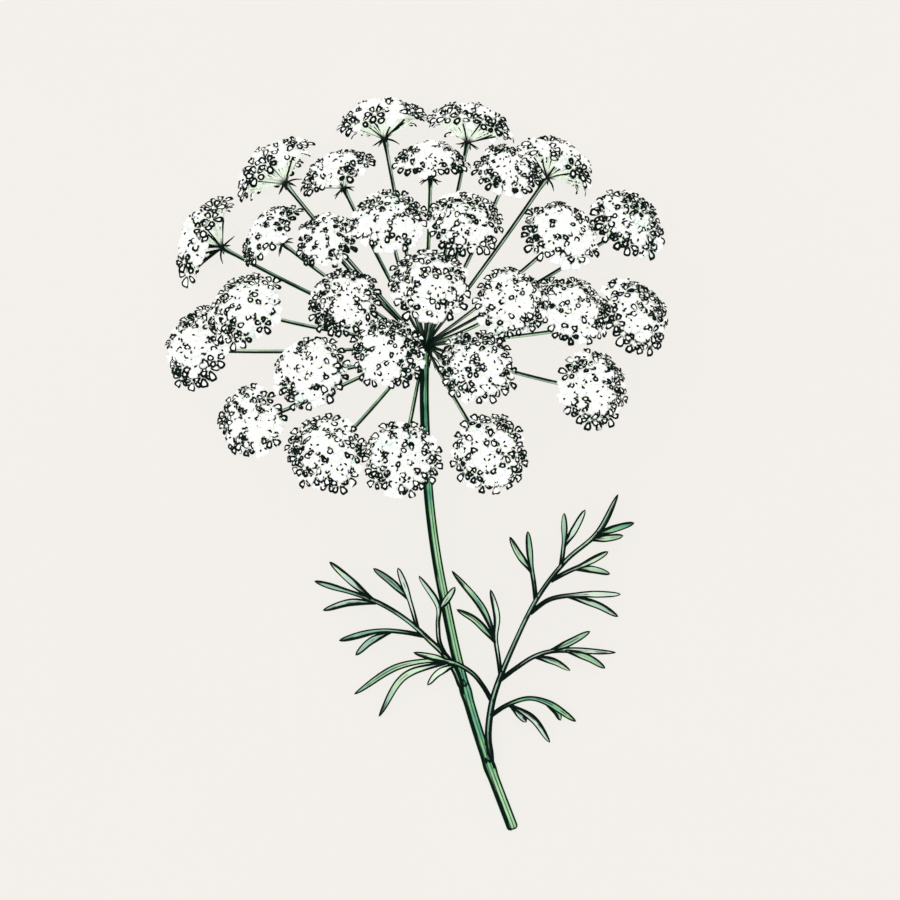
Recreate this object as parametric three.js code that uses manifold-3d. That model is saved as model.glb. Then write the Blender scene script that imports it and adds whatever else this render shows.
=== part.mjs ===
// Bishop's flower, a cut stem with one compound umbel and two feathery leaves, lying on a surface.
//
// Millimetres, +Z up. The stem runs along Y with the umbel at the +Y end, and the origin is on the
// surface below the middle of the whole flower. Places are given from the hub, where the rays meet:
// x and y for the stem and the leaves, whose z is from the surface, and x, y and z for the umbellets.
import * as THREE from "three";
import { mergeVertices } from "three/addons/utils/BufferGeometryUtils.js";
import { ConvexHull } from "three/addons/math/ConvexHull.js";
import Module from "manifold-3d";

const wasm = await Module();
wasm.setup();

// Driving dimensions
const HUB = new THREE.Vector3(2.4, 32.3, 27);
const HUB_RADIUS = 2.2;
const GAP = 0.3; // clearance between neighbouring pieces
const FINEST_DETAIL = 0.02;
const SHEATH_GAP = 0.35; // a leaf's sheath is cut by a stalk this much fatter than the stem
const STEM_TOP_RADIUS = 1.25;
const STEM_FOOT_RADIUS = 1.65;
const STEM_RIBS = 6;
const RIB_DEPTH = 0.13; // share of the stem's radius
const RAY_ROOT_RADIUS = 0.42;
const RAY_TIP_RADIUS = 0.62;
const RAY_BOW = 0.06; // how far a ray bends away from the umbel's axis, as a share of its length
const RAY_SIDES = 5;
const RAY_STEPS = 3;
const UMBEL_AXIS = new THREE.Vector3(0, 0.47, 0.88).normalize();
const TURN_TO_AXIS = 0.8; // how strongly a raised umbellet turns to the umbel's axis
const LEVEL_RAY = 5; // rays that end lower than this above the hub keep their own direction

// The 29 umbellets: where each ray ends and the radius of its dome of florets. With the foot of the
// stem, the two that rest are the flower's three low points, and their height follows from that.
const UMBELLETS = [
  { at: [-11, 56, -16], radius: 10.4 },
  { at: [11.5, 55, -16], radius: 10 },
  { at: [1.5, 45, 4], radius: 9.3 },
  { at: [-38, 44, -17], radius: 10.8, rests: true },
  { at: [-22, 42.5, 2], radius: 9.5 },
  { at: [22, 45, 17], radius: 8.5 },
  { at: [33, 45.5, -17], radius: 10.2, rests: true },
  { at: [-55, 26.5, -13], radius: 10.8 },
  { at: [-38.5, 27.5, 3], radius: 9 },
  { at: [-26, 27, 26], radius: 8 },
  { at: [-9.5, 31.5, 33], radius: 9.5 },
  { at: [10.5, 31, 30], radius: 9.7 },
  { at: [35.5, 28, 22], radius: 10 },
  { at: [53, 31, 9], radius: 10 },
  { at: [-46, 8.5, 24], radius: 10 },
  { at: [-59, -1.5, 9], radius: 10.5 },
  { at: [-21, 10.5, 40], radius: 9.3 },
  { at: [1.5, 14.5, 47], radius: 10.3 },
  { at: [22.5, 10.5, 39], radius: 9.3 },
  { at: [38.5, 8, 28], radius: 9.5 },
  { at: [54.5, 7, 12], radius: 10.2 },
  { at: [-29.5, -8, 38], radius: 9.7 },
  { at: [-9.5, -3, 49], radius: 9.3 },
  { at: [14, -6.5, 47], radius: 9.5 },
  { at: [43.5, -12, 26], radius: 9.7 },
  { at: [-45, -20.5, 24], radius: 9.5 },
  { at: [-25.5, -29, 38], radius: 10 },
  { at: [-6, -30.5, 43], radius: 9.8 },
  { at: [17, -29, 42], radius: 10 },
];

// An umbellet of radius 10, in its own frame with the ray's end at 0 and its middle along +Z.
// Rings of star-shaped florets stand out of a smaller white core, above green pedicels.
const UNIT_RADIUS = 10;
const FLORET_RINGS = [
  { count: 1, polar: 0 },
  { count: 5, polar: 40 },
  { count: 9, polar: 81 },
];
const CORE_RADIUS = 7.3;
const NECK_POLAR_SHARE = 0.7; // a neck leaves the core at this share of the floret's own angle
const NECK_RADIUS = 0.75;
const FLORET_DISTANCE = 8.9;
const PETALS = 5;
const PETAL_REACH = 2.9;
const PETAL_NOTCH = 1.3;
const PETAL_LIFT = 0.35;
const FLORET_DIMPLE = 0.4;
const PEDICEL_TOP = 3;
const INNER_PEDICEL_POLAR = 30;
const OUTER_PEDICEL_POLAR = 60;
const BRACTEOLE_POLAR = 118;
const BRACTEOLE_LENGTH = 4.6;
const KNOB_RINGS = [
  { z: -0.8, radius: 0.75 },
  { z: 0.1, radius: 1.15 },
  { z: 0.8, radius: 0.8 },
];
const KNOB_TOP = 1.1;

// The whorl of short bracts under the hub.
const BRACTS = 8;
const BRACT_LENGTH = 6.5;
const BRACT_SPREAD = 1.2; // how far a bract reaches out for each millimetre down the stem
const BRACT_RADIUS = 0.45;

// The stem's course from its foot. It lies on the surface there and curves up to the hub.
const STEM_COURSE = [
  [23.5, -130.1],
  [16.5, -111.5],
  [9.5, -88.3],
  [5.9, -72.1],
  [3.2, -58.1],
  [1.1, -41.9],
  [0.3, -28.4],
  [-0.2, -14.9],
  [0, 0],
];
const STEM_STEPS = 13;
const STEM_REST_HEIGHT = 1.42; // less than the radius, so that the foot rests on a narrow flat
const STEM_CURVE_POWER = 2.2;
const STEM_END = 3.9; // the stem stops this far from the hub, where the umbel's neck takes over

// Leaves are thin keeled blades. The first path of a leaf is its axis, from the sheath on the stem
// to the tip of the end lobe, and each pinna has a rib, which runs out into a lobe, and side lobes.
const LOBE_WIDTH = 2.3;
const RIB_WIDTH = 1.4;
const BLADE_THICKNESS = 0.9;
const SHEATH = [4.6, 3];
const PETIOLE = [1.9, 1.7];
const STEP_LENGTH = 6;

const LOWER_LEAF = {
  axis: [
    [17.4, -113, 2.9],
    [17.2, -107.5, 3.6],
    [17.6, -100.2, 5.2],
    [19, -93.8, 7.5],
    [24.1, -81.1, 11.5],
    [30.5, -68.3, 13.5],
    [38.1, -58.4, 12],
    [47, -50.5, 9],
    [52.4, -40.3, 5],
  ],
  lobes: [
    [[46, -51.3, 9.5], [51, -49.8, 8.2], [56.8, -48.1, 5.6]],
    [[44.6, -52.6, 10], [49.6, -52.2, 8], [53.8, -51.6, 5.8]],
  ],
  pinnae: [
    {
      rib: [[17.6, -100.6, 5.1], [22.1, -97.6, 7.4], [27.9, -95.7, 8], [33, -96.8, 7], [41, -102.1, 2.6]],
      lobes: [
        [[32.4, -96.6, 7.1], [35.4, -99, 5.4], [36.8, -101.8, 3.4]],
        [[22.6, -97.4, 7.4], [29.2, -101.2, 6], [33.9, -107.8, 2.2]],
        [[24.6, -96.6, 7.7], [26.6, -99, 6.6], [27.5, -102.3, 4.4]],
      ],
    },
    {
      rib: [[18.2, -96.7, 6.5], [15.8, -92.5, 8.6], [12.6, -88.7, 9.9], [6.4, -85.7, 10.4],
        [-6.8, -86.9, 8.6], [-19.3, -94.7, 2.6]],
      lobes: [
        [[6.6, -85.7, 10.4], [-5.4, -89.6, 8.2], [-12.6, -100.8, 1.8]],
        [[8.4, -86.4, 10.4], [3.4, -88.9, 9.2], [0.6, -92.2, 7.2]],
        [[6.8, -85.7, 10.4], [1, -84.2, 10.8], [-3.2, -83.2, 10.8]],
      ],
    },
    {
      rib: [[20.6, -90.4, 8.6], [19.9, -84.9, 11], [19.1, -79.4, 12.8], [19.4, -73.4, 14.4],
        [17.7, -66.1, 14.8]],
      lobes: [
        [[19.3, -80.6, 12.5], [13.6, -74.4, 13.4], [8.5, -71.5, 12.4]],
        [[19.1, -79.4, 12.8], [15.4, -71, 14.2], [7.2, -61, 14]],
      ],
    },
    {
      rib: [[20, -91, 8.5], [24.7, -87.4, 10.2], [29.8, -84.2, 10.6], [35.6, -82.7, 9.8], [51.8, -83.3, 4.6]],
      lobes: [
        [[33.4, -83.2, 10.2], [39.7, -80.3, 9.4], [44.8, -77.5, 7.6]],
        [[38, -82.6, 9.3], [44.6, -84.9, 7], [48.9, -87.6, 4.6]],
        [[29.6, -84.3, 10.5], [35.2, -85.7, 9], [39.4, -88.2, 6.6]],
      ],
    },
    {
      rib: [[28.4, -72.6, 12.8], [33.6, -68.9, 13.2], [41, -67.6, 12], [53.1, -67.5, 6.8]],
      lobes: [[[38.6, -67.9, 12.4], [46.8, -70.4, 9.6], [52.4, -73.6, 6]]],
    },
    {
      rib: [[30, -69.2, 13.3], [29.5, -64.5, 14.8], [28.7, -59.4, 15.6], [27.8, -50.3, 14.8]],
      lobes: [[[28.9, -61.4, 15.4], [25.4, -56.4, 15.6], [22.9, -51.8, 14.4]]],
    },
    {
      rib: [[34, -63.8, 13], [38.7, -61.3, 13], [43, -59.4, 12], [49.7, -55.9, 8.6]],
      lobes: [[[40.4, -60.5, 12.6], [45.4, -60.8, 10.8], [50.2, -62, 8]]],
    },
    {
      rib: [[36.8, -60, 12.3], [37.4, -55.8, 13.4], [37.8, -51.6, 13.8], [37.7, -45.4, 12.6]],
      lobes: [[[37.5, -54.6, 13.6], [40.4, -50, 13.4], [43.4, -44.5, 11.6]]],
    },
  ],
};

const UPPER_LEAF = {
  axis: [
    [9.8, -92.6, 5.2],
    [8.2, -88.4, 6],
    [5.2, -83.8, 7.2],
    [1.8, -80.5, 8.6],
    [-4.6, -74.7, 10],
    [-12.9, -69.6, 10],
    [-30.1, -63.9, 3.4],
  ],
  lobes: [
    [[-13.2, -69.7, 9.9], [-20.5, -69.7, 7.4], [-27.8, -71.9, 3.6]],
    [[-14.4, -68.8, 9.7], [-20.6, -63.4, 9.6], [-26, -58.6, 8]],
  ],
  pinnae: [
    {
      rib: [[5.6, -84.2, 7.1], [3.9, -80.4, 9.4], [3.5, -75.6, 10.9], [3.6, -70.6, 11.6],
        [-1.7, -62.4, 10.8]],
      lobes: [[[3.6, -71.8, 11.4], [5.8, -69, 12], [8.2, -65.4, 12.2]]],
    },
    {
      rib: [[-2, -77.1, 9.4], [-3.3, -72.1, 10.8], [-4.9, -66.9, 11.6], [-7.4, -60.2, 11.4]],
      lobes: [[[-4.3, -68.8, 11.3], [-9, -64.2, 11.2], [-14.1, -60.4, 9.2]]],
    },
    {
      rib: [[-0.4, -78.7, 9.1], [-5.9, -77.7, 9.8], [-12.4, -77.4, 9], [-23.4, -80.1, 4]],
      lobes: [[[-9.4, -77.6, 9.4], [-14.9, -80.3, 7.6], [-18.9, -84.1, 4.8]]],
    },
  ],
};

const plantMaterial = (color, roughness) =>
  new THREE.MeshStandardMaterial({ color, roughness, metalness: 0 });
const STEM_GREEN = plantMaterial(0x6fa375, 0.55);
const STALK_GREEN = plantMaterial(0x5c9168, 0.6);
const LEAF_GREEN = plantMaterial(0x4f9070, 0.6);
const PETAL_WHITE = plantMaterial(0xf7f8f4, 0.7);

const UP = new THREE.Vector3(0, 0, 1);
const { lerp, degToRad } = THREE.MathUtils;
const vector = (point) => new THREE.Vector3(...point);
const fromHub = ([x, y, z]) => new THREE.Vector3(x + HUB.x, y + HUB.y, z);
const union = (solids) => wasm.Manifold.union(solids);

// Numbers that change along a length, given as stops of share, width and thickness.
function profile(stops) {
  return (t) => {
    const next = stops.findIndex(([share]) => share >= t);
    const [from, to] = [stops[Math.max(next - 1, 0)], stops[next]];
    const local = to === from ? 0 : (t - from[0]) / (to[0] - from[0]);
    return [lerp(from[1], to[1], local), lerp(from[2], to[2], local)];
  };
}

// Points and triangles as a solid, turned the right way out.
function solidOf(points, triangles) {
  const sixfoldVolume = triangles.reduce((sum, [a, b, c]) => {
    const area = new THREE.Vector3().crossVectors(points[b], points[c]);
    return sum + points[a].dot(area);
  }, 0);
  const outward = sixfoldVolume < 0 ? triangles.map(([a, b, c]) => [a, c, b]) : triangles;
  return new wasm.Manifold(
    new wasm.Mesh({
      numProp: 3,
      vertProperties: new Float32Array(points.flatMap((point) => point.toArray())),
      triVerts: new Uint32Array(outward.flat()),
    }),
  );
}

// A geometry as a solid. Corners nearer than `weld` become one, and faces that this flattens go.
function solidOfGeometry(geometry, weld = 1e-4) {
  geometry.deleteAttribute("normal").deleteAttribute("uv");
  const { attributes, index } = mergeVertices(geometry, weld);
  const faces = [];
  for (let i = 0; i < index.count; i += 3) {
    const face = [index.getX(i), index.getX(i + 1), index.getX(i + 2)];
    if (new Set(face).size === 3) {
      faces.push(...face);
    }
  }
  return new wasm.Manifold(
    new wasm.Mesh({
      numProp: 3,
      vertProperties: attributes.position.array,
      triVerts: new Uint32Array(faces),
    }),
  );
}

function geometryOf(solid) {
  const { vertProperties, triVerts } = solid.getMesh();
  return new THREE.BufferGeometry()
    .setAttribute("position", new THREE.BufferAttribute(new Float32Array(vertProperties), 3))
    .setIndex(new THREE.BufferAttribute(new Uint32Array(triVerts), 1));
}

// Takes out the slivers that are left where limbs cross.
const tidied = (solid) =>
  solidOfGeometry(geometryOf(solid.asOriginal().simplify(FINEST_DETAIL)), FINEST_DETAIL / 2);

function meshOf(solid, name, material) {
  const geometry = geometryOf(solid);
  geometry.computeVertexNormals();
  const mesh = new THREE.Mesh(geometry, material);
  mesh.name = name;
  return mesh;
}

// A skin over rings of points. A ring of one point closes the skin in a tip, and ends that are left
// open get a fan. raised(ring, side) may give a tip that a face between two rings is drawn out to.
function skin(rings, raised = () => null) {
  const points = [];
  const triangles = [];
  const indexed = rings.map((ring) => ring.map((point) => points.push(point) - 1));
  const fan = (corners, tip) =>
    corners.forEach((corner, i) => triangles.push([corner, corners[(i + 1) % corners.length], tip]));
  for (let r = 0; r < indexed.length - 1; r++) {
    const [low, high] = [indexed[r], indexed[r + 1]];
    low.forEach((corner, i) => {
      const next = (i + 1) % low.length;
      const face = high.length > 1 ? [corner, low[next], high[next], high[i]] : [corner, low[next], high[0]];
      const tip = raised(r, i);
      if (tip) {
        fan(face, points.push(tip) - 1);
        return;
      }
      triangles.push(face.slice(0, 3));
      if (face.length === 4) {
        triangles.push([face[0], face[2], face[3]]);
      }
    });
  }
  const closeEnd = (ring, turn) => {
    for (let i = 1; i < ring.length - 1; i++) {
      triangles.push(turn ? [ring[0], ring[i + 1], ring[i]] : [ring[0], ring[i], ring[i + 1]]);
    }
  };
  closeEnd(indexed[0], true);
  closeEnd(indexed.at(-1), false);
  return solidOf(points, triangles);
}

// The rings of a limb that follows a curve. sizeAt(t) scales the outline, and outline's second
// coordinate points up from the limb, as near to `up` as its course allows.
function limbRings(curve, { outline, steps, sizeAt, up = UP }) {
  return Array.from({ length: steps + 1 }, (_, step) => {
    const t = step / steps;
    const along = curve.getTangentAt(t);
    const across = new THREE.Vector3().crossVectors(along, up).normalize();
    const above = new THREE.Vector3().crossVectors(across, along);
    const centre = curve.getPointAt(t);
    const [width, thickness] = sizeAt(t);
    if (width === 0) {
      return [centre];
    }
    return outline.map(([u, v]) =>
      centre.clone().addScaledVector(across, u * width).addScaledVector(above, v * thickness),
    );
  });
}

const limb = (curve, options) => skin(limbRings(curve, options));

const polygon = (sides, radiusOf = () => 1) =>
  Array.from({ length: sides }, (_, i) => {
    const angle = ((i + 0.5) / sides) * 2 * Math.PI;
    return [Math.sin(angle) * radiusOf(i), -Math.cos(angle) * radiusOf(i)];
  });

// Stem: one ribbed stalk from the foot to the hub, cut across just below the hub.
function stemCurve() {
  const [, footY] = STEM_COURSE[0];
  const points = STEM_COURSE.map(([x, y]) => {
    const share = (y - footY) / -footY;
    return fromHub([x, y, lerp(STEM_REST_HEIGHT, HUB.z, share ** STEM_CURVE_POWER)]);
  });
  return new THREE.CatmullRomCurve3(points, false, "centripetal");
}

const hubDown = () => stemCurve().getTangentAt(1).negate();

function stalkSolid(extra = 0) {
  return limb(stemCurve(), {
    outline: polygon(STEM_RIBS * 2, (i) => (i % 2 ? 1 - RIB_DEPTH : 1)),
    steps: STEM_STEPS,
    sizeAt: (t) => {
      const radius = lerp(STEM_FOOT_RADIUS, STEM_TOP_RADIUS, t) + extra;
      return [radius, radius];
    },
  });
}

function stemSolid() {
  const down = hubDown();
  const end = HUB.dot(down) + STEM_END;
  return stalkSolid().trimByPlane(down.toArray(), end).trimByPlane([0, 0, 1], 0);
}

function neckSolid() {
  const down = hubDown();
  const up = down.clone().negate();
  const start = HUB.dot(up) - STEM_END + GAP;
  return stalkSolid().trimByPlane(up.toArray(), start);
}

// An umbellet's frame: the end of its ray, turned to face out along the ray and towards the axis.
function rayCurve(end) {
  const direction = end.clone().normalize();
  const inward = UMBEL_AXIS.clone().addScaledVector(direction, -UMBEL_AXIS.dot(direction)).normalize();
  const middle = end.clone().multiplyScalar(0.55).addScaledVector(inward, -RAY_BOW * end.length());
  return new THREE.QuadraticBezierCurve3(HUB.clone(), middle.add(HUB), end.clone().add(HUB));
}

function facingOf(end) {
  const facing = rayCurve(end).getTangentAt(1);
  if (end.z > LEVEL_RAY) {
    facing.addScaledVector(UMBEL_AXIS, TURN_TO_AXIS);
  }
  return facing.normalize();
}

function placeOf(umbellet) {
  const scale = umbellet.radius / UNIT_RADIUS;
  const place = (end) =>
    new THREE.Matrix4().compose(
      end.clone().add(HUB),
      new THREE.Quaternion().setFromUnitVectors(UP, facingOf(end)),
      new THREE.Vector3(scale, scale, scale),
    );
  const end = vector(umbellet.at);
  if (umbellet.rests) {
    const lowest = headPoints(place(end)).reduce((low, { z }) => Math.min(low, z), Infinity);
    end.z -= lowest;
  }
  return { end, matrix: place(end) };
}

// A point at an angle from +Z, in degrees, and a turn about it from +Y towards +X, in radians.
const spherical = (distance, polar, turn) =>
  new THREE.Vector3(Math.sin(turn), Math.cos(turn), 0)
    .multiplyScalar(distance * Math.sin(degToRad(polar)))
    .setZ(distance * Math.cos(degToRad(polar)));

// A ray, its knob, the pedicels drawn out of the knob's top and the bracteoles round its underside.
function raySolid(umbellet) {
  const { end, matrix } = placeOf(umbellet);
  const sideAngle = (side) => ((side + 0.5) / RAY_SIDES) * 2 * Math.PI;
  const outline = Array.from({ length: RAY_SIDES }, (_, i) => {
    const angle = (i / RAY_SIDES) * 2 * Math.PI;
    return [Math.sin(angle), Math.cos(angle)];
  });
  const rings = limbRings(rayCurve(end), {
    outline: outline.map(([x, y]) => [-x, y]), // a limb's outline is seen from its far end
    steps: RAY_STEPS,
    sizeAt: profile([[0, RAY_ROOT_RADIUS, RAY_ROOT_RADIUS], [0.5, RAY_TIP_RADIUS, RAY_TIP_RADIUS],
      [1, RAY_TIP_RADIUS, RAY_TIP_RADIUS]]),
    up: new THREE.Vector3(0, 1, 0).transformDirection(matrix),
  }).slice(0, -1);
  const knob = KNOB_RINGS.map(({ z, radius }) =>
    outline.map(([x, y]) => new THREE.Vector3(x * radius, y * radius, z).applyMatrix4(matrix)),
  );
  const top = new THREE.Vector3(0, 0, KNOB_TOP).applyMatrix4(matrix);
  const firstKnobFace = rings.length;
  const spikes = [
    { length: BRACTEOLE_LENGTH, polar: BRACTEOLE_POLAR },
    { length: PEDICEL_TOP / Math.cos(degToRad(OUTER_PEDICEL_POLAR)), polar: OUTER_PEDICEL_POLAR },
    { length: PEDICEL_TOP / Math.cos(degToRad(INNER_PEDICEL_POLAR)), polar: INNER_PEDICEL_POLAR },
  ];
  return skin([...rings, ...knob, [top]], (ring, side) => {
    const spike = spikes[ring - firstKnobFace];
    return spike ? spherical(spike.length, spike.polar, sideAngle(side)).applyMatrix4(matrix) : null;
  });
}

function bractSolid(turn) {
  const down = hubDown();
  const side = new THREE.Vector3(1, 0, 0).addScaledVector(down, -down.x).normalize();
  const outward = side.applyAxisAngle(down, turn);
  const start = HUB.clone().addScaledVector(down, HUB_RADIUS * 0.3);
  const reach = outward.clone().multiplyScalar(BRACT_SPREAD).add(down).setLength(BRACT_LENGTH);
  return limb(new THREE.LineCurve3(start, start.clone().add(reach)), {
    outline: polygon(4),
    steps: 2,
    sizeAt: profile([[0, BRACT_RADIUS, BRACT_RADIUS], [0.5, BRACT_RADIUS, BRACT_RADIUS], [1, 0, 0]]),
    up: outward,
  });
}

function umbelStalksSolid() {
  const ball = new THREE.IcosahedronGeometry(HUB_RADIUS, 1).translate(...HUB.toArray());
  const bracts = Array.from({ length: BRACTS }, (_, i) => bractSolid(((i + 0.5) / BRACTS) * 2 * Math.PI));
  return tidied(union([solidOfGeometry(ball), neckSolid(), ...bracts, ...UMBELLETS.map(raySolid)]));
}

// The corners of one floret: a ring on the core that its neck rises from, a star-shaped rim of
// petals and a dimpled centre.
function floretCorners(polar, azimuth) {
  const east = new THREE.Vector3(-Math.sin(azimuth), Math.cos(azimuth), 0);
  const around = (direction, distance, radius, angle) => {
    const north = new THREE.Vector3().crossVectors(direction, east);
    return direction
      .clone()
      .multiplyScalar(distance)
      .addScaledVector(east, radius * Math.cos(angle))
      .addScaledVector(north, radius * Math.sin(angle));
  };
  const direction = (angle) =>
    new THREE.Vector3(Math.cos(azimuth), Math.sin(azimuth), 0)
      .multiplyScalar(Math.sin(degToRad(angle)))
      .setZ(Math.cos(degToRad(angle)));
  const neck = [0, 1, 2].map((k) =>
    around(direction(polar * NECK_POLAR_SHARE), CORE_RADIUS, NECK_RADIUS, Math.PI / 2 + (k * 2 * Math.PI) / 3)
      .setLength(CORE_RADIUS),
  );
  const rim = Array.from({ length: PETALS * 2 }, (_, k) => {
    const angle = Math.PI / 2 + (k * Math.PI) / PETALS;
    const [radius, lift] = k % 2 ? [PETAL_NOTCH, 0] : [PETAL_REACH, PETAL_LIFT];
    return around(direction(polar), FLORET_DISTANCE + lift, radius, angle);
  });
  return { neck, rim, centre: direction(polar).multiplyScalar(FLORET_DISTANCE - FLORET_DIMPLE) };
}

const florets = () =>
  FLORET_RINGS.flatMap(({ count, polar }, ring) =>
    Array.from({ length: count }, (_, i) => floretCorners(polar, ((i + ring / 3) / count) * 2 * Math.PI)),
  );

const headPoints = (matrix) =>
  florets().flatMap(({ rim }) => rim.map((point) => point.applyMatrix4(matrix)));

// A white head. Each floret's funnel joins its three neck corners to the ten corners of its rim, and
// the core is the hull of all neck corners, open where a neck rises from it.
function headSolid(matrix) {
  const points = [];
  const triangles = [];
  const owners = new Map();
  florets().forEach(({ neck, rim, centre }, owner) => {
    const necks = neck.map((point) => points.push(point) - 1);
    necks.forEach((index) => owners.set(points[index], { index, owner }));
    const rims = rim.map((point) => points.push(point) - 1);
    const middle = points.push(centre) - 1;
    const nearest = rims.map((_, k) => necks[Math.round((k * 3) / rims.length) % 3]);
    rims.forEach((corner, k) => {
      const next = (k + 1) % rims.length;
      triangles.push([corner, rims[next], middle], [corner, nearest[k], rims[next]]);
      if (nearest[k] !== nearest[next]) {
        triangles.push([rims[next], nearest[k], nearest[next]]);
      }
    });
  });
  new ConvexHull().setFromPoints([...owners.keys()]).faces.forEach((face) => {
    const corners = [0, 1, 2].map((i) => owners.get(face.getEdge(i).head().point));
    if (new Set(corners.map(({ owner }) => owner)).size > 1) {
      triangles.push(corners.map(({ index }) => index));
    }
  });
  points.forEach((point) => point.applyMatrix4(matrix));
  return solidOf(points, triangles);
}

// Leaves
const KEELED = [
  [-0.5, -0.15],
  [0.5, -0.15],
  [0, 0.6],
];

function blade(path, stops) {
  const curve = new THREE.CatmullRomCurve3(path.map(fromHub), false, "centripetal");
  const steps = Math.max(3, Math.round(curve.getLength() / STEP_LENGTH));
  return limb(curve, { outline: KEELED, steps, sizeAt: profile(stops) });
}

const lobe = (path) =>
  blade(path, [[0, LOBE_WIDTH * 0.45, BLADE_THICKNESS], [0.6, LOBE_WIDTH, BLADE_THICKNESS], [1, 0, 0]]);

const rib = (path) =>
  blade(path, [[0, RIB_WIDTH, BLADE_THICKNESS], [0.4, RIB_WIDTH, BLADE_THICKNESS],
    [0.75, LOBE_WIDTH, BLADE_THICKNESS], [1, 0, 0]]);

const leafAxis = (path) =>
  blade(path, [[0, ...SHEATH], [0.06, ...SHEATH], [0.14, ...PETIOLE], [0.6, RIB_WIDTH * 1.1, BLADE_THICKNESS],
    [0.9, LOBE_WIDTH, BLADE_THICKNESS], [1, 0, 0]]);

function leafSolid({ axis, lobes, pinnae }) {
  const pinnaSolids = pinnae.flatMap((pinna) => [rib(pinna.rib), ...pinna.lobes.map(lobe)]);
  return tidied(union([leafAxis(axis), ...lobes.map(lobe), ...pinnaSolids]).subtract(stalkSolid(SHEATH_GAP)));
}

const flower = new THREE.Group();
flower.add(meshOf(stemSolid(), "stem", STEM_GREEN));
flower.add(meshOf(leafSolid(LOWER_LEAF), "leaf_lower", LEAF_GREEN));
flower.add(meshOf(leafSolid(UPPER_LEAF), "leaf_upper", LEAF_GREEN));
flower.add(meshOf(umbelStalksSolid(), "umbel_stalks", STALK_GREEN));
UMBELLETS.forEach((umbellet, i) => {
  const name = `umbellet_${String(i + 1).padStart(2, "0")}`;
  flower.add(meshOf(headSolid(placeOf(umbellet).matrix), name, PETAL_WHITE));
});

export default flower;
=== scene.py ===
import math

import bpy
import numpy as np
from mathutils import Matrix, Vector


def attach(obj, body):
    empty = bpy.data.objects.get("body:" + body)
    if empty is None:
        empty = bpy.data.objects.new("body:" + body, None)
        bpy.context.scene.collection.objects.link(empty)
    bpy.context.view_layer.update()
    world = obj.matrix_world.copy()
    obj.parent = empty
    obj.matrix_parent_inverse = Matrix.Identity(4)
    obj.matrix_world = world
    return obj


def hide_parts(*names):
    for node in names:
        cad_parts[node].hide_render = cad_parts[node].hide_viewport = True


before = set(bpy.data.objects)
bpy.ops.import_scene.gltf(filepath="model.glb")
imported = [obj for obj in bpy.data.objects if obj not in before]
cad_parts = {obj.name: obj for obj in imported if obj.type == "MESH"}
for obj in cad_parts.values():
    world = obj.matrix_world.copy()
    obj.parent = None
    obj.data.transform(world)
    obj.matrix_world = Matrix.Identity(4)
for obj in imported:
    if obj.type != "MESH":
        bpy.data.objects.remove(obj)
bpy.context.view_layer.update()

# Bishop's flower lying on a pale surface, seen from above. Lengths are in millimetres, as in the
# part's source, and become metres where a mesh, a material or the camera is made.
METRE = 0.001
UP = np.array([0.0, 0.0, 1.0])
rng = np.random.default_rng(29)

# Hub, stem and rays, as in the part's source but for the radius of a ray's tip
HUB = np.array([2.4, 32.3, 27.0])
HUB_RADIUS = 2.2
STEM_TOP_RADIUS = 1.25
STEM_FOOT_RADIUS = 1.65
STEM_REST_HEIGHT = 1.42
STEM_CURVE_POWER = 2.2
RAY_ROOT_RADIUS = 0.42
RAY_TIP_RADIUS = 0.6
RAY_BOW = 0.06  # how far a ray bends away from the umbel's axis, as a share of its length
UMBEL_AXIS = np.array([0.0, 0.47, 0.88])
TURN_TO_AXIS = 0.8  # how strongly a raised head turns to the umbel's axis
LEVEL_RAY = 5.0  # rays that end lower than this above the hub keep their own direction
UNIT_RADIUS = 10.0  # radius of the head that all sizes in a head are given for

# Where each ray ends, from the hub, and the radius of its head
UMBELLETS = [
    ((-11, 56, -16), 10.4), ((11.5, 55, -16), 10), ((1.5, 45, 4), 9.3), ((-38, 44, -17), 10.8),
    ((-22, 42.5, 2), 9.5), ((22, 45, 17), 8.5), ((33, 45.5, -17), 10.2), ((-55, 26.5, -13), 10.8),
    ((-38.5, 27.5, 3), 9), ((-26, 27, 26), 8), ((-9.5, 31.5, 33), 9.5), ((10.5, 31, 30), 9.7),
    ((35.5, 28, 22), 10), ((53, 31, 9), 10), ((-46, 8.5, 24), 10), ((-59, -1.5, 9), 10.5),
    ((-21, 10.5, 40), 9.3), ((1.5, 14.5, 47), 10.3), ((22.5, 10.5, 39), 9.3), ((38.5, 8, 28), 9.5),
    ((54.5, 7, 12), 10.2), ((-29.5, -8, 38), 9.7), ((-9.5, -3, 49), 9.3), ((14, -6.5, 47), 9.5),
    ((43.5, -12, 26), 9.7), ((-45, -20.5, 24), 9.5), ((-25.5, -29, 38), 10), ((-6, -30.5, 43), 9.8),
    ((17, -29, 42), 10),
]

# The stem's course from its foot, x and y from the hub. Its rounded end is 1.3 mm beyond the frame's.
STEM_COURSE = [
    (23.9, -131.3), (16.5, -111.5), (9.5, -88.3), (5.9, -72.1), (3.2, -58.1), (1.1, -41.9), (0.3, -28.4),
    (-0.2, -14.9), (0, 0),
]

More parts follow.
